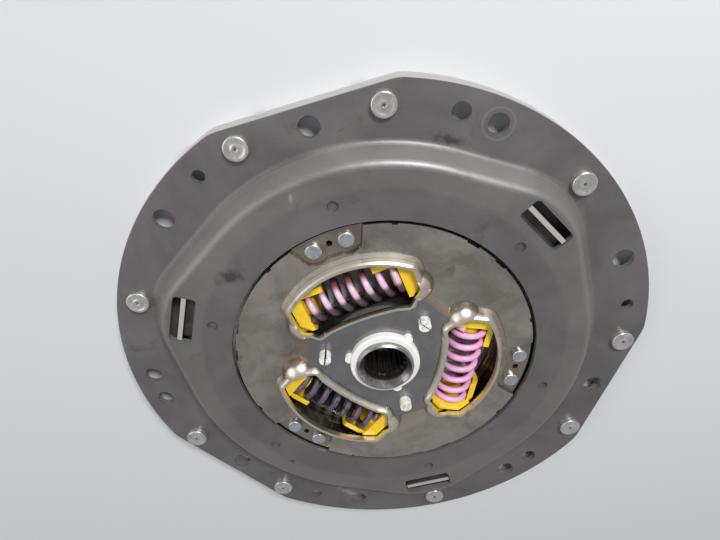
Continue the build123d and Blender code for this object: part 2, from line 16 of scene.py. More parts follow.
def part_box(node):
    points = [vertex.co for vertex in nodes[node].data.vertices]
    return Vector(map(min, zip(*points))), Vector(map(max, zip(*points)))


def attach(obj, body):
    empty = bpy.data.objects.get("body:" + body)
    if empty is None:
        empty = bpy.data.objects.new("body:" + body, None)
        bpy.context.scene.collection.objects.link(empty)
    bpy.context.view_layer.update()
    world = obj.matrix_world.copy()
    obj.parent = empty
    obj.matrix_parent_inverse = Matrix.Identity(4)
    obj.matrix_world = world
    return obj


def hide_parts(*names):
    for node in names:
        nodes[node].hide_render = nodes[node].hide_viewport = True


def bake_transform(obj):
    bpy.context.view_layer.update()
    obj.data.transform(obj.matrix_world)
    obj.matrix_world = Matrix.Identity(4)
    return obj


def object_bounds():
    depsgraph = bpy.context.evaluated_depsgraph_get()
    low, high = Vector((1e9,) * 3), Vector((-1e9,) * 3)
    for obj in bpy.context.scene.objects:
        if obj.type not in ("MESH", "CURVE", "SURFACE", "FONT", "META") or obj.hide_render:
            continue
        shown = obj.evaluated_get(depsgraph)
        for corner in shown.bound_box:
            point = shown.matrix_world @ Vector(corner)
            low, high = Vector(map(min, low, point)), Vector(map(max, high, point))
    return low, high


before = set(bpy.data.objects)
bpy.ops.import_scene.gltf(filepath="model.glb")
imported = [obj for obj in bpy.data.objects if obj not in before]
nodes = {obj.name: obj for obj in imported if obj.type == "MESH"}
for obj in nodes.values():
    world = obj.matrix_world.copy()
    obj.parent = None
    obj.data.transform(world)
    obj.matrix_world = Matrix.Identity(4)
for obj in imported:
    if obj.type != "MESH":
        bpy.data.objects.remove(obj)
cad_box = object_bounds()

# %% [markdown]
# The whole disc repeats three times round its axis. The lobes of the cover give one set of
# directions, and the damper sits turned by a few degrees, so its windows have a set of their own.
# The stops of the small rivets say where that is, so it is measured from the frame.

# %% Directions and places
MM = 0.001
REPEATS = 3
THIRD = math.tau / REPEATS


def middle(node):
    low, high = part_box(node)
    return (low + high) / 2


def direction(point):
    return math.atan2(point.y, point.x)


def polar(radius, angle, height=0.0):
    return Vector((radius * math.cos(angle), radius * math.sin(angle), height))


WINDOW = direction(middle("stop_rivet_1") + middle("stop_rivet_2"))
FLOOR_Z = cad_box[0][2]
print("window direction", round(math.degrees(WINDOW), 2), "floor at", round(FLOOR_Z / MM, 2), "mm")

# %% [markdown]
# The photograph looks down on the disc from one side, turned so that the near edge is at the top
# of the picture. Two points and a roll say that: where the camera stands, where its axis meets
# the flange, and how far it is turned about that axis. The lens follows from the picture's width.

# %% Camera
CAMERA_PLACE = Vector((-145.29, 126.28, 240.49)) * MM
CAMERA_AIM = Vector((-43.59, 26.41, 0.0)) * MM
CAMERA_ROLL = math.radians(177.99)
LENS = 27.2
SENSOR = 36.0

camera = bpy.data.objects.new("camera", bpy.data.cameras.new("camera"))
camera.data.lens = LENS
camera.data.sensor_width = SENSOR
camera.data.clip_start = 0.005
back = (CAMERA_PLACE - CAMERA_AIM).normalized()
right = Vector((0, 0, 1)).cross(back).normalized()
up = back.cross(right)
upright = Matrix((right, up, back)).transposed().to_4x4()
camera.matrix_world = Matrix.Translation(CAMERA_PLACE) @ upright @ Matrix.Rotation(CAMERA_ROLL, 4, "Z")
bpy.context.scene.collection.objects.link(camera)
bpy.context.scene.camera = camera
print("camera", round((CAMERA_PLACE - CAMERA_AIM).length, 3), "m from its aim")

# %% [markdown]
# A material is a small network. A few helpers keep each one short: one makes a material with its
# Principled BSDF, one adds a node with its inputs set by name, and the rest wrap the maths.

# %% Node helpers
FLOAT, VECTOR = "NodeSocketFloat", "NodeSocketVector"


def set_input(tree, socket, value):
    if isinstance(value, bpy.types.NodeSocket):
        tree.links.new(value, socket)
    elif socket.type == "RGBA" and len(value) == 3:
        socket.default_value = (*value, 1.0)
    else:
        socket.default_value = value


def add_node(tree, kind, inputs=None, **settings):
    node = tree.nodes.new(kind)
    for key, value in settings.items():
        setattr(node, key, value)
    for key, value in (inputs or {}).items():
        set_input(tree, node.inputs[key], value)
    return node


def maths(tree, operation, first, second=0.0, third=0.0):
    inputs = {0: first, 1: second, 2: third}
    return add_node(tree, "ShaderNodeMath", inputs, operation=operation).outputs[0]


def mix_colour(tree, factor, first, second, blend="MIX"):
    inputs = {0: factor, 6: first, 7: second}
    return add_node(tree, "ShaderNodeMix", inputs, data_type="RGBA", blend_type=blend).outputs[2]


def smooth_step(tree, value, low, high, to_low=0.0, to_high=1.0):
    inputs = {"Value": value, "From Min": low, "From Max": high, "To Min": to_low, "To Max": to_high}
    node = add_node(tree, "ShaderNodeMapRange", inputs, interpolation_type="SMOOTHSTEP")
    return node.outputs["Result"]


def band(tree, value, low, high, soft):
    """One between low and high, fading to zero over soft on each side."""
    rise = smooth_step(tree, value, low - soft, low)
    fall = smooth_step(tree, value, high, high + soft, 1.0, 0.0)
    return maths(tree, "MULTIPLY", rise, fall)


def new_material(name):
    material = bpy.data.materials.new(name)
    material.use_nodes = True
    return material, material.node_tree, material.node_tree.nodes["Principled BSDF"]


# %% [markdown]
# Effects that several finishes share are node groups, built once. A group puts out a mask or a
# height, and each material decides what to do with it.

# %% Group helpers
def new_group(name, inputs, output):
    group = bpy.data.node_groups.new(name, "ShaderNodeTree")
    for label, kind, value in inputs:
        group.interface.new_socket(label, in_out="INPUT", socket_type=kind).default_value = value
    group.interface.new_socket(output, in_out="OUTPUT", socket_type=FLOAT)
    start = group.nodes.new("NodeGroupInput").outputs
    end = group.nodes.new("NodeGroupOutput").inputs[0]
    place = add_node(group, "ShaderNodeTexCoord").outputs["Object"]
    return group, start, end, place


def use(tree, group, **inputs):
    return add_node(tree, "ShaderNodeGroup", inputs, node_tree=group).outputs[0]


# %% [markdown]
# Phosphated steel is never one grey. Three layers give it life: a cloudy mottle from the bath,
# fine grain from the rolled sheet, and smudges left by oily hands.

# %% Mottle, grain and smudges
mottle, start, end, place = new_group("cloudy mottle", [("Size", FLOAT, 0.02), ("Contrast", FLOAT, 0.5)], "Mask")
scale = maths(mottle, "DIVIDE", 1.0, start["Size"])
cloud = add_node(mottle, "ShaderNodeTexNoise", {
    "Vector": place, "Scale": scale, "Detail": 5.0, "Roughness": 0.62, "Distortion": 0.6})
half = maths(mottle, "MULTIPLY_ADD", start["Contrast"], -0.28, 0.30)
low = maths(mottle, "SUBTRACT", 0.5, half)
high = maths(mottle, "ADD", 0.5, half)
mottle.links.new(smooth_step(mottle, cloud.outputs[0], low, high), end)

grain, start, end, place = new_group("fine grain", [("Size", FLOAT, 0.0006)], "Value")
scale = maths(grain, "DIVIDE", 1.0, start["Size"])
speck = add_node(grain, "ShaderNodeTexNoise", {"Vector": place, "Scale": scale, "Detail": 3.0, "Roughness": 0.7})
grain.links.new(speck.outputs[0], end)

smudges, start, end, place = new_group("smudges", [("Size", FLOAT, 0.03), ("Cover", FLOAT, 0.3)], "Mask")
scale = maths(smudges, "DIVIDE", 1.0, start["Size"])
patch = add_node(smudges, "ShaderNodeTexNoise", {
    "Vector": place, "Scale": scale, "Detail": 4.0, "Roughness": 0.55, "Distortion": 1.2})
edge = maths(smudges, "MULTIPLY_ADD", start["Cover"], -0.5, 0.75)
full = maths(smudges, "ADD", edge, 0.16)
smudges.links.new(smooth_step(smudges, patch.outputs[0], edge, full), end)
print("layers:", mottle.name, grain.name, smudges.name)

# %% [markdown]
# A turned or pressed surface shows rings about its axis, and a handled one shows marks in one
# place: a rub, a stain, a washer's print. Both start from a distance, measured in a group.

# %% Distance, height, rings and marks
distance, start, end, place = new_group("distance from an axis", [("Centre", VECTOR, (0, 0, 0))], "Distance")
moved = add_node(distance, "ShaderNodeVectorMath", {0: place, 1: start["Centre"]}, operation="SUBTRACT").outputs[0]
flat = add_node(distance, "ShaderNodeVectorMath", {0: moved, 1: (1, 1, 0)}, operation="MULTIPLY").outputs[0]
length = add_node(distance, "ShaderNodeVectorMath", {0: flat}, operation="LENGTH")
distance.links.new(length.outputs["Value"], end)

height, start, end, place = new_group("height", [], "Height")
height.links.new(add_node(height, "ShaderNodeSeparateXYZ", {0: place}).outputs["Z"], end)

rings, start, end, place = new_group("turning rings", [
    ("Distance", FLOAT, 0.0), ("Pitch", FLOAT, 0.0004)], "Height")
turns = maths(rings, "DIVIDE", start["Distance"], start["Pitch"])
groove = add_node(rings, "ShaderNodeTexNoise", {"W": turns, "Scale": 0.7, "Detail": 3.0}, noise_dimensions="1D")
rings.links.new(groove.outputs[0], end)

mark, start, end, place = new_group("mark in one place", [
    ("Centre", VECTOR, (0, 0, 0)), ("Turn", FLOAT, 0.0), ("Length", FLOAT, 0.02), ("Width", FLOAT, 0.01)], "Mask")
moved = add_node(mark, "ShaderNodeVectorMath", {0: place, 1: start["Centre"]}, operation="SUBTRACT").outputs[0]
turned = add_node(mark, "ShaderNodeVectorRotate", {"Vector": moved, "Angle": start["Turn"]},
                  rotation_type="Z_AXIS", invert=True).outputs[0]
size = add_node(mark, "ShaderNodeCombineXYZ", {
    0: start["Length"], 1: start["Width"], 2: start["Length"]}).outputs[0]
share = add_node(mark, "ShaderNodeVectorMath", {0: turned, 1: size}, operation="DIVIDE").outputs[0]
reach = add_node(mark, "ShaderNodeVectorMath", {0: share}, operation="LENGTH").outputs["Value"]
ragged = add_node(mark, "ShaderNodeTexNoise", {
    "Vector": place, "Scale": 260.0, "Detail": 4.0, "Roughness": 0.6}).outputs[0]
rough_reach = maths(mark, "MULTIPLY_ADD", ragged, 1.4, maths(mark, "SUBTRACT", reach, 0.7))
mark.links.new(smooth_step(mark, rough_reach, 0.1, 0.8, 1.0, 0.0), end)
print("marks:", distance.name, height.name, rings.name, mark.name)


# %% [markdown]
# Steel finishes differ only in their numbers: two greys and how cloudily they mix, a stain for the
# smudges, how rough each is, and how deep the grain. One function builds the base, and hands back
# its tree, colour and roughness so that a finish can add its own details.

# %% Steel
def steel(name, pale, dark, stain, roughness, metallic, cloud=0.02, contrast=0.5, stains=0.3,
          stain_size=0.03, grain_depth=0.00002, ring_depth=0.0, ring_pitch=0.0005, own_axis=False):
    material, tree, bsdf = new_material(name)
    cloudy = use(tree, mottle, Size=cloud, Contrast=contrast)
    dirty = use(tree, smudges, Size=stain_size, Cover=stains)
    speck = use(tree, grain, Size=0.0006)
    shade = maths(tree, "MULTIPLY_ADD", speck, 0.5, 0.75)
    grey = add_node(tree, "ShaderNodeCombineColor", {0: shade, 1: shade, 2: shade}).outputs[0]
    base = mix_colour(tree, 1.0, mix_colour(tree, cloudy, dark, pale), grey, blend="MULTIPLY")
    colour = mix_colour(tree, maths(tree, "MULTIPLY", dirty, 0.7), base, stain)
    rough = maths(tree, "MULTIPLY_ADD", cloudy, 0.10, roughness - 0.05)
    rough = maths(tree, "MULTIPLY_ADD", dirty, 0.10, rough)
    bump_height = maths(tree, "MULTIPLY", speck, grain_depth)
    if ring_depth:
        if own_axis:
            away = add_node(tree, "ShaderNodeAttribute", attribute_name="own_distance").outputs["Fac"]
        else:
            away = use(tree, distance)
        groove = use(tree, rings, Distance=away, Pitch=ring_pitch)
        bump_height = maths(tree, "MULTIPLY_ADD", groove, ring_depth, bump_height)
    bump = add_node(tree, "ShaderNodeBump", {"Height": bump_height, "Strength": 1.0, "Distance": 1.0})
    tree.links.new(bump.outputs[0], bsdf.inputs["Normal"])
    bsdf.inputs["Metallic"].default_value = metallic
    tree.links.new(colour, bsdf.inputs["Base Color"])
    tree.links.new(rough, bsdf.inputs["Roughness"])
    return SimpleNamespace(material=material, tree=tree, bsdf=bsdf, colour=colour, rough=rough)


# %% [markdown]
# The cover is pressed and phosphated, so it is a warm dark grey all over, except where a tool cut
# it after the bath would be: the sheared rim and the walls of the holes are bare steel, also painted
# pale as a painted highlight. A height mask finds them, because everything below the flange's face
# but above its back is a cut edge. Rust starts near those edges, and a few rubs and stains are set where hands and
# parts touched it.

# %% Cover steel
SHEARED_WITH_HIGHLIGHT = (0.56, 0.54, 0.52)
RUST = (0.16, 0.075, 0.04)
COVER_ROUGHNESS = 0.45
COVER_METAL = 0.45
cover = steel(
    "phosphated cover steel", (0.165, 0.150, 0.148), (0.118, 0.107, 0.108), (0.055, 0.05, 0.05),
    COVER_ROUGHNESS, COVER_METAL, cloud=0.04, contrast=0.2, stains=0.22, stain_size=0.030, ring_depth=0.000005)
tree, colour = cover.tree, cover.colour
away = use(tree, distance)
level = use(tree, height)
on_rim = smooth_step(tree, away, 124.5 * MM, 125.5 * MM)
wall = maths(tree, "MULTIPLY", on_rim, smooth_step(tree, level, -0.6 * MM, -0.4 * MM, 1.0, 0.0))
on_flange = smooth_step(tree, away, 117 * MM, 118 * MM)
hole_wall = maths(tree, "MULTIPLY", on_flange, band(tree, level, -2.9 * MM, -0.2 * MM, 0.1 * MM))
in_opening = smooth_step(tree, away, 82.6 * MM, 82.9 * MM, 1.0, 0.0)
inner_cut = maths(tree, "MULTIPLY", in_opening, smooth_step(tree, level, 9.8 * MM, 10.1 * MM, 1.0, 0.0))
cut_edge_highlight = maths(tree, "MAXIMUM", maths(tree, "MAXIMUM", wall, hole_wall), inner_cut)
near_rim = smooth_step(tree, away, 112 * MM, 126 * MM)
rusty = maths(tree, "MULTIPLY", use(tree, smudges, Size=0.006, Cover=0.30), near_rim)
colour = mix_colour(tree, maths(tree, "MULTIPLY", rusty, 0.55), colour, RUST)
print("masks for the rim's wall, the holes' walls, the opening and the rust")

# %% [markdown]
# Each mark has its place, read off the photograph as a point on the cover, and its own length,
# width and turn. Dark ones are oil and old rubs, and pale ones are chalky scuffs and the print
# that a washer left round one hole. The dish's slope is painted paler, as a painted highlight where light falls on
# it.

# %% Marks on the cover
DISH_FACE = 10.2 * MM
OIL = (0.035, 0.03, 0.03)
CHALK = (0.34, 0.32, 0.31)
PAINTED_SLOPE_HIGHLIGHT = (0.30, 0.28, 0.26)
stained = use(tree, mark, Centre=(-61.7 * MM, 103.5 * MM, 0), Turn=math.radians(30), Length=13 * MM, Width=4 * MM)
rubbed = use(tree, mark, Centre=(-91.9 * MM, -16.2 * MM, DISH_FACE), Turn=math.radians(60),
             Length=12 * MM, Width=7 * MM)
dark_marks = maths(tree, "MAXIMUM", stained, rubbed)
colour = mix_colour(tree, maths(tree, "MULTIPLY", dark_marks, 0.75), colour, OIL)
chalky = use(tree, mark, Centre=(73.5 * MM, -104.5 * MM, 0), Turn=math.radians(12), Length=14 * MM, Width=4 * MM)
scuffed = use(tree, mark, Centre=(-97.5 * MM, 36.5 * MM, DISH_FACE), Turn=math.radians(-42),
              Length=5 * MM, Width=1.6 * MM)
pale_marks = maths(tree, "MAXIMUM", chalky, scuffed)
from_hole = use(tree, distance, Centre=(-50.9 * MM, 123.4 * MM, 0))
washer_print = maths(tree, "MULTIPLY", band(tree, from_hole, 7.0 * MM, 7.6 * MM, 0.4 * MM), 0.35)
pale_marks = maths(tree, "MAXIMUM", pale_marks, washer_print)
colour = mix_colour(tree, maths(tree, "MULTIPLY", pale_marks, 0.6), colour, CHALK)
# Painted highlight: the dish's slope is mixed paler.
on_dish = smooth_step(tree, away, 96 * MM, 100 * MM)
lit_slope = maths(tree, "MULTIPLY", on_dish, band(tree, level, 1.5 * MM, 9.6 * MM, 1.0 * MM))
colour = mix_colour(tree, maths(tree, "MULTIPLY", lit_slope, 0.40), colour, PAINTED_SLOPE_HIGHLIGHT)
metal = maths(tree, "MULTIPLY_ADD", cut_edge_highlight, 0.4, COVER_METAL)
rough = maths(tree, "MULTIPLY_ADD", cut_edge_highlight, -0.12, cover.rough)
# Cut edges: bare steel, also lightened as a painted highlight.
tree.links.new(mix_colour(tree, cut_edge_highlight, colour, SHEARED_WITH_HIGHLIGHT), cover.bsdf.inputs["Base Color"])
tree.links.new(metal, cover.bsdf.inputs["Metallic"])
tree.links.new(rough, cover.bsdf.inputs["Roughness"])
print("made", cover.material.name)

# %% [markdown]
# The side plates are brighter: bare, nitrided sheet with a straw-brown bloom. Their lips round the
# windows and the domes over the seats were ironed by the press tool, and are painted almost white as
# a painted highlight, while the raised middle gets a blue-grey painted reflection. Height masks separate
# the three levels, and one more puts painted shade on the walls inside the windows.

# %% Side plate steel
ANNULUS_TOP = 9.5 * MM
PLATEAU_TOP = 12.5 * MM
PAINTED_BLUE_REFLECTION = (0.23, 0.245, 0.27)
STRAW_BLOOM = (0.42, 0.27, 0.15)
PAINTED_LIP_HIGHLIGHT = (0.74, 0.67, 0.57)
PAINTED_WINDOW_SHADE = (0.04, 0.035, 0.03)
plates = steel(
    "side plate steel", (0.50, 0.45, 0.38), (0.30, 0.27, 0.24), (0.19, 0.12, 0.075), 0.27, 0.95,
    cloud=0.030, contrast=0.35, stains=0.28, stain_size=0.022, ring_depth=0.000004)
tree, colour = plates.tree, plates.colour
away = use(tree, distance)
level = use(tree, height)
raised = smooth_step(tree, level, 10.8 * MM, PLATEAU_TOP - 0.1 * MM)
near_hub = smooth_step(tree, away, 40 * MM, 56 * MM, 1.0, 0.0)
# Painted reflection: the raised middle near the hub is tinted blue-grey.
blue_reflection = maths(tree, "MULTIPLY", maths(tree, "MULTIPLY", raised, near_hub), 0.65)
colour = mix_colour(tree, blue_reflection, colour, PAINTED_BLUE_REFLECTION)
outer_flank = smooth_step(tree, away, 57 * MM, 60 * MM)
shoulder = maths(tree, "MULTIPLY", band(tree, level, 10 * MM, 12 * MM, 0.6 * MM),
                 maths(tree, "SUBTRACT", 1.0, outer_flank))
colour = mix_colour(tree, maths(tree, "MULTIPLY", shoulder, 0.45), colour, STRAW_BLOOM)
print("colours of the plateau and its shoulders")

# %% [markdown]
# The lips stand above the plateau, and so do the outer flanks of the windows, which rise from the
# lower ring; both are painted near white as a painted highlight. A thin line of painted shade runs round
# the foot of each lip, and the walls inside the windows get painted shade. The pads for the stop rivets lie lower
# and are browner.

# %% Lips, creases, pads and inner walls
# Painted highlight: lips and outer flanks are mixed to a near-white cream.
flank = smooth_step(tree, level, ANNULUS_TOP + 0.3 * MM, ANNULUS_TOP + 1.1 * MM)
flank = maths(tree, "MULTIPLY", outer_flank, flank)
on_lip = smooth_step(tree, level, PLATEAU_TOP + 0.4 * MM, PLATEAU_TOP + 1.7 * MM)
lip_highlight = maths(tree, "MAXIMUM", on_lip, flank)
colour = mix_colour(tree, lip_highlight, colour, PAINTED_LIP_HIGHLIGHT)
bloom = maths(tree, "MULTIPLY", lip_highlight, use(tree, smudges, Size=0.012, Cover=0.45))
colour = mix_colour(tree, maths(tree, "MULTIPLY", bloom, 0.45), colour, (0.38, 0.27, 0.18))
# Painted shade: a thin dark line in the crease at the foot of each lip.
crease_shade = band(tree, level, PLATEAU_TOP + 0.15 * MM, PLATEAU_TOP + 0.3 * MM, 0.08 * MM)
colour = mix_colour(tree, maths(tree, "MULTIPLY", crease_shade, 0.6), colour, (0.12, 0.08, 0.06))
sunk_pad = smooth_step(tree, level, 7.2 * MM, ANNULUS_TOP - 0.3 * MM, 1.0, 0.0)
colour = mix_colour(tree, maths(tree, "MULTIPLY", sunk_pad, 0.4), colour, (0.20, 0.13, 0.085))
# Painted shade on the walls inside the windows and the plateau's inner wall, front plate only.
inside = maths(tree, "MULTIPLY", smooth_step(tree, level, 5 * MM, 8 * MM, 1.0, 0.0),
               smooth_step(tree, away, 64 * MM, 68 * MM, 1.0, 0.0))
inner_wall = smooth_step(tree, level, PLATEAU_TOP - 0.6 * MM, PLATEAU_TOP - 0.3 * MM, 1.0, 0.0)
inner_wall = maths(tree, "MULTIPLY", inner_wall, smooth_step(tree, away, 39 * MM, 41 * MM, 1.0, 0.0))
front_half = smooth_step(tree, level, -2.8 * MM, -2.6 * MM)
shaded = maths(tree, "MULTIPLY", maths(tree, "MAXIMUM", inside, inner_wall), front_half)
colour = mix_colour(tree, maths(tree, "MULTIPLY", shaded, 0.85), colour, PAINTED_WINDOW_SHADE)
tree.links.new(colour, plates.bsdf.inputs["Base Color"])
tree.links.new(maths(tree, "MULTIPLY_ADD", lip_highlight, 0.04, plates.rough), plates.bsdf.inputs["Roughness"])
print("made", plates.material.name)

# %% [markdown]
# Inside the cover sits a pressure plate whose tabs reach up into three slots. Little light gets in,
# so it is dark, and only the top edge of each tab is worn bright.

# %% Pressure plate, spring and hub steel
tabs = steel("pressure plate steel", (0.10, 0.095, 0.09), (0.06, 0.055, 0.055), (0.03, 0.03, 0.03), 0.5, 0.6)
worn = smooth_step(tabs.tree, use(tabs.tree, height), 9.0 * MM, 9.5 * MM)
bare = mix_colour(tabs.tree, worn, tabs.colour, (0.55, 0.52, 0.48))
tabs.tree.links.new(bare, tabs.bsdf.inputs["Base Color"])

dark_springs = steel(
    "tempered spring steel", (0.13, 0.13, 0.135), (0.08, 0.08, 0.09), (0.05, 0.04, 0.03), 0.42, 0.75)

hub = steel(
    "machined hub steel", (0.40, 0.39, 0.37), (0.28, 0.27, 0.26), (0.10, 0.07, 0.05), 0.30, 0.9,
    cloud=0.006, stains=0.4, stain_size=0.008, ring_depth=0.000006)
tree, colour = hub.tree, hub.colour
# Painted shade: the spline bore is darkened deep inside, and so is the hub's flange lower down.
bore_shade = maths(tree, "MULTIPLY", smooth_step(tree, use(tree, distance), 12.2 * MM, 12.8 * MM, 1.0, 0.0),
                smooth_step(tree, use(tree, height), 13 * MM, 16 * MM, 1.0, 0.0))
colour = mix_colour(tree, maths(tree, "MULTIPLY", bore_shade, 0.85), colour, (0.045, 0.035, 0.03))
flange_shade = maths(tree, "MULTIPLY", smooth_step(tree, use(tree, distance), 16.5 * MM, 18.5 * MM),
               smooth_step(tree, use(tree, height), 8.5 * MM, 10 * MM, 1.0, 0.0))
colour = mix_colour(tree, maths(tree, "MULTIPLY", flange_shade, 0.8), colour, (0.05, 0.045, 0.04))
tree.links.new(colour, hub.bsdf.inputs["Base Color"])
print("made", tabs.material.name, dark_springs.material.name, hub.material.name)

# %% [markdown]
# Rivets are turned from bar, so their heads carry fine rings about their own axis. Nine axes can't
# be one pattern in space: each rivet stores the distance from its own axis as an attribute instead.

# %% Rivet steel
turned_rivets = steel(
    "turned rivet steel", (0.66, 0.64, 0.61), (0.52, 0.50, 0.48), (0.34, 0.31, 0.28), 0.30, 0.85,
    cloud=0.004, stains=0.12, stain_size=0.005, ring_depth=0.00004, ring_pitch=0.00055, own_axis=True)
tree = turned_rivets.tree
own = add_node(tree, "ShaderNodeAttribute", attribute_name="own_distance").outputs["Fac"]
# Painted shade: the centre dimple of each head is darkened.
dimple_shade = maths(tree, "MULTIPLY", smooth_step(tree, own, 0.6 * MM, 1.0 * MM, 1.0, 0.0),
               smooth_step(tree, use(tree, height), 0, 1.0 * MM))
colour = mix_colour(tree, maths(tree, "MULTIPLY", dimple_shade, 0.8), turned_rivets.colour, (0.10, 0.09, 0.08))
tree.links.new(colour, turned_rivets.bsdf.inputs["Base Color"])
zinc_rivets = steel(
    "zinc rivet steel", (0.56, 0.575, 0.585), (0.42, 0.435, 0.445), (0.26, 0.25, 0.24), 0.32, 0.85,
    cloud=0.003, stains=0.2, stain_size=0.004, ring_depth=0.00001, own_axis=True)
print("made", turned_rivets.material.name, zinc_rivets.material.name)


# %% [markdown]
# Nylon is the seats and the bushes, moulded and a little greasy. The linings are pressed fibre.
# All are dielectric, so one function with a colour, a shade, grime and a gloss covers them.

# %% Plastic and lining
def plastic(name, colour, shade, roughness, grime, grime_cover):
    material, tree, bsdf = new_material(name)
    cloudy = use(tree, mottle, Size=0.012, Contrast=0.3)
    dirty = use(tree, smudges, Size=0.008, Cover=grime_cover)
    base = mix_colour(tree, cloudy, shade, colour)
    base = mix_colour(tree, maths(tree, "MULTIPLY", dirty, 0.5), base, grime)
    speck = use(tree, grain, Size=0.0004)
    bump = add_node(tree, "ShaderNodeBump", {"Height": maths(tree, "MULTIPLY", speck, 0.00001), "Distance": 1.0})
    tree.links.new(bump.outputs[0], bsdf.inputs["Normal"])
    tree.links.new(base, bsdf.inputs["Base Color"])
    tree.links.new(maths(tree, "MULTIPLY_ADD", speck, 0.12, roughness - 0.06), bsdf.inputs["Roughness"])
    return SimpleNamespace(material=material, tree=tree, bsdf=bsdf, colour=base)


seats = plastic(
    "yellow seat nylon", (0.84, 0.58, 0.02), (0.76, 0.48, 0.015), 0.32, (0.25, 0.14, 0.02), 0.3)
# Painted shade: the seats turn a darker orange lower down, deep in the windows.
deep_seat_shade = smooth_step(seats.tree, use(seats.tree, height), 5.5 * MM, 10.5 * MM, 1.0, 0.0)
colour = mix_colour(seats.tree, maths(seats.tree, "MULTIPLY", deep_seat_shade, 0.5), seats.colour, (0.58, 0.29, 0.015))
seats.tree.links.new(colour, seats.bsdf.inputs["Base Color"])

bushes = plastic("white bush nylon", (0.80, 0.79, 0.76), (0.72, 0.71, 0.67), 0.42, (0.42, 0.36, 0.29), 0.2)
tree = bushes.tree
away = use(tree, distance)
# Brown patches, from smudge noise, on the nylon beyond 28.5 mm from the axis.
pin_brown_patches = maths(tree, "MULTIPLY", smooth_step(tree, away, 28.5 * MM, 30 * MM),
                  use(tree, smudges, Size=0.003, Cover=0.55))
colour = mix_colour(tree, maths(tree, "MULTIPLY", pin_brown_patches, 0.6), bushes.colour, (0.36, 0.26, 0.17))
washer_rim = maths(tree, "MULTIPLY", smooth_step(tree, away, 26.5 * MM, 27.5 * MM),
                   smooth_step(tree, use(tree, height), 10 * MM, 11.8 * MM, 1.0, 0.0))
colour = mix_colour(tree, maths(tree, "MULTIPLY", washer_rim, 0.9), colour, (0.05, 0.04, 0.035))
tree.links.new(colour, bushes.bsdf.inputs["Base Color"])

linings = plastic("friction lining", (0.10, 0.065, 0.045), (0.06, 0.042, 0.032), 0.85, (0.03, 0.025, 0.02), 0.4)
print("made", seats.material.name, bushes.material.name, linings.material.name)

# %% [markdown]
# Each spring wears its own paint: one is pink all round, one is paler pink, and one is nearly
# black with purple gleams. Each is painted darker low down as painted shade on its flanks, dark reddish on
# the paler one, which also gets painted shade on its inner side on top of rubbed wear. The function takes
# the colour on top, the painted shade colour low down, the bare colour, and the side that gets painted shade.

# %% Spring paint
PINK = (0.78, 0.38, 0.60)
PALE_PINK = (0.74, 0.48, 0.62)
DARK_PURPLE = (0.13, 0.095, 0.14)


def paint(name, top, low, low_z, high_z, bare, rubbed, shaded_towards=None):
    shaded_top = tuple(part * 0.82 for part in top)
    coat = plastic(name, top, shaded_top, 0.32, (0.30, 0.20, 0.24), 0.2)
    tree = coat.tree
    # Painted shade: the spring is darker low down, where its flanks lie in shadow.
    below = smooth_step(tree, use(tree, height), low_z, high_z, 1.0, 0.0)
    colour = mix_colour(tree, below, coat.colour, low)
    gone = maths(tree, "MULTIPLY", use(tree, smudges, Size=0.006, Cover=rubbed), 0.9)
    if shaded_towards is not None:
        # Painted shade on the inner side, added to the rubbed wear.
        place = add_node(tree, "ShaderNodeTexCoord").outputs["Object"]
        heading = polar(1, shaded_towards)
        outwards = add_node(tree, "ShaderNodeVectorMath", {0: place, 1: heading}, operation="DOT_PRODUCT")
        inner_side_shade = smooth_step(tree, outwards.outputs["Value"], 41.5 * MM, 45 * MM, 1.0, 0.0)
        gone = maths(tree, "MAXIMUM", gone, maths(tree, "MULTIPLY", inner_side_shade, 0.94))
    tree.links.new(mix_colour(tree, gone, colour, bare), coat.bsdf.inputs["Base Color"])
    return coat.material


pink_paint = paint("pink spring paint", PINK, (0.36, 0.13, 0.24), -4 * MM, 9 * MM, (0.30, 0.12, 0.20), 0.12)
half_pink_paint = paint("rubbed and half shaded spring paint", PALE_PINK, (0.20, 0.06, 0.07), 8.5 * MM, 12.2 * MM,
                        (0.050, 0.034, 0.040), 0.25, shaded_towards=WINDOW + THIRD)
dark_paint = paint("worn dark spring paint", DARK_PURPLE, (0.035, 0.024, 0.035), 6 * MM, 14 * MM,
                   (0.028, 0.020, 0.030), 0.55)
print("made", pink_paint.name, half_pink_paint.name, dark_paint.name)

# %% [markdown]
# Now the CAD nodes get their finishes. A node's name starts with what it is, so a short table is
# enough, and a node that no line fits stops the script.

# %% Finishes of the CAD nodes
BY_NAME = {
    "cover_plate": cover, "back_plate": cover, "rim_rivet": turned_rivets, "stop_rivet": zinc_rivets,
    "front_side_plate": plates, "rear_side_plate": plates, "lining_carrier": plates, "pressure_plate": tabs,
    "disc_spring": dark_springs, "cone_washer": dark_springs, "front_lining": linings, "rear_lining": linings,
    "spring_seat": seats, "hub": hub, "front_bush": bushes, "rear_bush": bushes, "pin_washer": bushes,
    "friction_washer": bushes,
}
FINISHES = {start: finish.material for start, finish in BY_NAME.items()}
FINISHES["damper_spring"] = pink_paint
for name, node in nodes.items():
    finish = next(material for start, material in FINISHES.items() if name.startswith(start))
    node.data.materials.clear()
    node.data.materials.append(finish)
print("finished", len(nodes), "nodes")


# %% [markdown]
# What repeats is grown by Geometry Nodes. A tree is a recipe with named inputs: the script fills
# them in, evaluates it once, and keeps the result as a plain mesh.

# %% Geometry Nodes helpers
def new_recipe(name, inputs):
    recipe = bpy.data.node_groups.new(name, "GeometryNodeTree")
    recipe.interface.new_socket("Geometry", in_out="OUTPUT", socket_type="NodeSocketGeometry")
    for label, kind in inputs:
        recipe.interface.new_socket(label, in_out="INPUT", socket_type=kind)
    return recipe, recipe.nodes.new("NodeGroupInput").outputs


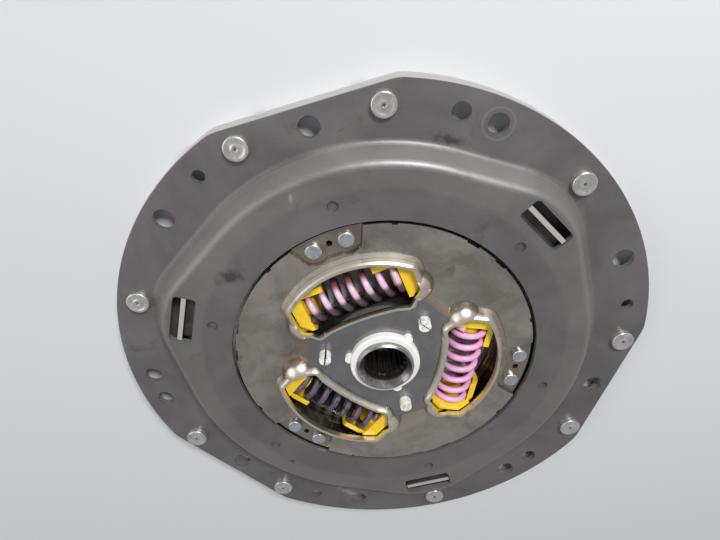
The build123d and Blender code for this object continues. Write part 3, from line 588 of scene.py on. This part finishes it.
def close_recipe(recipe, shape, material):
    real = add_node(recipe, "GeometryNodeRealizeInstances", {"Geometry": shape}).outputs[0]
    painted = add_node(recipe, "GeometryNodeSetMaterial", {"Geometry": real, "Material": material}).outputs[0]
    end = recipe.nodes.new("NodeGroupOutput").inputs[0]
    recipe.links.new(painted, end)


def grow(name, recipe, values, sharp_angle):
    """Evaluates a recipe with these values and returns a plain mesh object."""
    seed = bpy.data.objects.new(name + "_seed", bpy.data.meshes.new(name + "_seed"))
    bpy.context.scene.collection.objects.link(seed)
    modifier = seed.modifiers.new("recipe", "NODES")
    modifier.node_group = recipe
    for item in recipe.interface.items_tree:
        if item.in_out == "INPUT":
            modifier[item.identifier] = values[item.name]
    depsgraph = bpy.context.evaluated_depsgraph_get()
    mesh = bpy.data.meshes.new_from_object(seed.evaluated_get(depsgraph))
    bpy.data.objects.remove(seed)
    mesh.polygons.foreach_set("use_smooth", [True] * len(mesh.polygons))
    mesh.set_sharp_from_angle(angle=math.radians(sharp_angle))
    piece = bpy.data.objects.new(name, mesh)
    bpy.context.scene.collection.objects.link(piece)
    print(name, len(mesh.polygons), "faces")
    return piece


# %% [markdown]
# A damper spring is round wire wound at an even pitch, with a half turn at each end pressed flat
# so that it sits square in its seat. The recipe takes a straight line of points, and moves each one
# to its place on the winding: the angle grows evenly, and the height does too until it meets the
# end. Sweeping a circle along it gives the wire.

# %% Spring recipe
springs, given = new_recipe("coil spring", [
    ("Coil radius", FLOAT), ("Wire", FLOAT), ("Length", FLOAT), ("Pitch", FLOAT), ("End turn", FLOAT),
    ("Offset", FLOAT), ("Direction", FLOAT), ("Middle", FLOAT), ("Points", "NodeSocketInt"),
    ("Paint", "NodeSocketMaterial")])
half_length = maths(springs, "MULTIPLY", maths(springs, "SUBTRACT", given["Length"], given["Wire"]), 0.5)
active = maths(springs, "DIVIDE", maths(springs, "MULTIPLY", half_length, 2.0), given["Pitch"])
turns = maths(springs, "MULTIPLY_ADD", given["End turn"], 2.0, active)
line = add_node(springs, "GeometryNodeCurvePrimitiveLine", {"End": (0, 0, 1)}).outputs[0]
line = add_node(springs, "GeometryNodeResampleCurve", {"Curve": line, "Count": given["Points"]}).outputs[0]
share = add_node(springs, "GeometryNodeSplineParameter").outputs["Factor"]
turned = maths(springs, "MULTIPLY", maths(springs, "SUBTRACT", share, 0.5), turns)
swing = maths(springs, "MULTIPLY", turned, math.tau)
free = maths(springs, "MULTIPLY", turned, given["Pitch"])
first_end = maths(springs, "MULTIPLY", half_length, -1.0)
along = maths(springs, "MAXIMUM", maths(springs, "MINIMUM", free, half_length), first_end)
outwards = maths(springs, "MULTIPLY_ADD", maths(springs, "COSINE", swing), given["Coil radius"], given["Offset"])
upwards = maths(springs, "MULTIPLY", maths(springs, "SINE", swing), given["Coil radius"])
sideways = maths(springs, "MULTIPLY", along, -1.0)
spot = add_node(springs, "ShaderNodeCombineXYZ", {0: outwards, 1: sideways, 2: upwards}).outputs[0]
coil = add_node(springs, "GeometryNodeSetPosition", {"Geometry": line, "Position": spot}).outputs[0]
section = add_node(springs, "GeometryNodeCurvePrimitiveCircle", {
    "Resolution": 14, "Radius": maths(springs, "MULTIPLY", given["Wire"], 0.5)}).outputs[0]
wire = add_node(springs, "GeometryNodeCurveToMesh", {
    "Curve": coil, "Profile Curve": section, "Fill Caps": True}).outputs[0]
turn = add_node(springs, "ShaderNodeCombineXYZ", {2: given["Direction"]}).outputs[0]
lift = add_node(springs, "ShaderNodeCombineXYZ", {2: given["Middle"]}).outputs[0]
placed = add_node(springs, "GeometryNodeTransform", {
    "Geometry": wire, "Rotation": turn, "Translation": lift}).outputs[0]
close_recipe(springs, placed, given["Paint"])

# %% [markdown]
# The sizes are those of the CAD coil, whose wire is eight-sided. Each spring stands between a seat
# of the damper and a seat of the hub.

# %% Springs
SPRING_LENGTH = 52 * MM
SPRING_OFFSET = 43 * MM
SPRING_TURNS = 6.8
COIL_RADIUS = 8.8 * MM
WIRE = 3.4 * MM
for number, finish in enumerate([pink_paint, half_pink_paint, dark_paint], start=1):
    node = f"damper_spring_{number}"
    heading = direction(middle(node))
    piece = grow(f"coil_{number}", springs, {
        "Coil radius": COIL_RADIUS, "Wire": WIRE, "Length": SPRING_LENGTH, "Pitch": SPRING_LENGTH / SPRING_TURNS,
        "End turn": 0.5, "Offset": SPRING_OFFSET, "Direction": heading, "Middle": middle(node).z, "Points": 200,
        "Paint": finish}, sharp_angle=60)
    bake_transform(piece)
    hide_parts(node)

# %% [markdown]
# A rivet is a turned profile: its half outline, spun round the axis. The spin is a few lines of
# arithmetic, and it stores each ring's distance from the axis for the finish. Geometry Nodes then
# sets one rivet on each point of a list, which is how a rivet circle is laid out on a drawing.

# %% Turned profile and rivet recipe
def turned_profile(name, outline, steps=48):
    """Closed solid from an outline of (radius, height), bottom pole to top pole."""
    points, loops = [], []
    for radius, level in outline:
        count = steps if radius > 0 else 1
        loops.append([len(points) + step for step in range(count)])
        points += [polar(radius, math.tau * step / steps, level) for step in range(count)]
    faces = []
    for lower, upper in zip(loops, loops[1:]):
        for step in range(steps):
            after = (step + 1) % steps
            below = [lower[step % len(lower)], lower[after % len(lower)]]
            above = [upper[after % len(upper)], upper[step % len(upper)]]
            faces.append(list(dict.fromkeys(below + above)))
    mesh = bpy.data.meshes.new(name)
    mesh.from_pydata(points, [], faces)
    own = mesh.attributes.new("own_distance", "FLOAT", "POINT")
    own.data.foreach_set("value", [math.hypot(point.x, point.y) for point in points])
    return bpy.data.objects.new(name, mesh)


def point_list(name, places):
    mesh = bpy.data.meshes.new(name)
    mesh.from_pydata(places, [], [])
    return bpy.data.objects.new(name, mesh)


rivets, given = new_recipe("rivets on points", [
    ("Rivet", "NodeSocketObject"), ("Places", "NodeSocketObject"), ("Finish", "NodeSocketMaterial")])
one = add_node(rivets, "GeometryNodeObjectInfo", {"Object": given["Rivet"]}).outputs["Geometry"]
spots = add_node(rivets, "GeometryNodeObjectInfo", {"Object": given["Places"]}).outputs["Geometry"]
many = add_node(rivets, "GeometryNodeInstanceOnPoints", {"Points": spots, "Instance": one}).outputs[0]
close_recipe(rivets, many, given["Finish"])


# %% [markdown]
# Rim rivets have a low cylinder for a head, with a rounded edge and the dimple that a live centre
# leaves. Stop rivets are small set heads with a soft edge. Each outline runs from the tail's pole
# up to the head's, between the lowest and highest point of the CAD rivet that it stands for.

# %% Rivets
def rounded(radius, level, edge, steps=4):
    """Points of a quarter round at the top edge of a head."""
    turns = [math.pi / 2 * step / steps for step in range(steps + 1)]
    return [(radius - edge + edge * math.cos(turn), level - edge + edge * math.sin(turn)) for turn in turns]


def dress_rivets(name, count, outline, body, finish):
    names = [f"{name}_{number}" for number in range(1, count + 1)]
    places = [Vector((middle(node).x, middle(node).y, 0)) for node in names]
    values = {
        "Rivet": turned_profile(name + "_profile", outline), "Places": point_list(name + "_places", places),
        "Finish": finish}
    piece = grow(name + "s", rivets, values, sharp_angle=50)
    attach(piece, body)
    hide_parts(*names)
    print(name, "stands from", round(outline[0][1] / MM, 2), "mm, set", count, "times")


low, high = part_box("rim_rivet_1")
HEAD, SHANK, TAIL = 6 * MM, 4 * MM, 5.5 * MM
tail_face = low.z + 2.4 * MM
recess = high.z - 0.12 * MM
rim_outline = [
    (0, low.z), (TAIL - 1 * MM, low.z), (TAIL, low.z + 1.2 * MM), (TAIL, tail_face), (SHANK, tail_face),
    (SHANK, 0), (HEAD, 0), *rounded(HEAD, high.z, 0.7 * MM), (4.2 * MM, high.z), (4.0 * MM, recess),
    (2.2 * MM, recess), (2.0 * MM, high.z), (0.9 * MM, high.z), (0, high.z - 0.9 * MM)]
dress_rivets("rim_rivet", 9, rim_outline, "cover", turned_rivets.material)

low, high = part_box("stop_rivet_1")
HEAD, SHANK = 4.15 * MM, 3 * MM
tail_face = low.z + 2.3 * MM
pad_face = high.z - 2.5 * MM
stop_outline = [
    (0, low.z), (HEAD - 0.8 * MM, low.z), (HEAD, low.z + 1.1 * MM), (HEAD, tail_face), (SHANK, tail_face),
    (SHANK, pad_face), (HEAD, pad_face), *rounded(HEAD, high.z, 0.9 * MM), (2.6 * MM, high.z - 0.05 * MM),
    (0, high.z - 0.12 * MM)]
dress_rivets("stop_rivet", 6, stop_outline, "damper", zinc_rivets.material)

# %% [markdown]
# Plain pale floor and soft studio light: one wide lamp from the side where the photograph's light
# comes from, a weaker one opposite, and an even world.

# %% Floor, lamps and world
FLOOR_HALF = 3.0
corners = [(x * FLOOR_HALF, y * FLOOR_HALF, FLOOR_Z) for x, y in ((-1, -1), (1, -1), (1, 1), (-1, 1))]
floor_mesh = bpy.data.meshes.new("floor")
floor_mesh.from_pydata(corners, [], [(0, 1, 2, 3)])
floor = bpy.data.objects.new("floor", floor_mesh)
bpy.context.scene.collection.objects.link(floor)
floor_finish, tree, bsdf = new_material("pale floor")
bsdf.inputs["Base Color"].default_value = (0.56, 0.57, 0.58, 1)
bsdf.inputs["Roughness"].default_value = 0.9
floor_mesh.materials.append(floor_finish)


def lamp(name, place, size, power):
    light = bpy.data.lights.new(name, "AREA")
    light.shape = "DISK"
    light.size = size
    light.energy = power
    holder = bpy.data.objects.new(name, light)
    holder.location = place
    holder.rotation_euler = Vector(place).to_track_quat("Z", "Y").to_euler()
    bpy.context.scene.collection.objects.link(holder)
    print(name, power, "W at", place)


lamp("key", (-0.42, 0.80, 0.72), 0.30, 13.5)
lamp("fill", (-0.7, -0.5, 0.7), 0.9, 3)

world = bpy.data.worlds.new("studio")
bpy.context.scene.world = world
world.use_nodes = True
sky = world.node_tree.nodes["Background"]
sky.inputs["Color"].default_value = (0.92, 0.95, 1.0, 1)
sky.inputs["Strength"].default_value = 0.42
bpy.context.scene.view_settings.view_transform = "Standard"
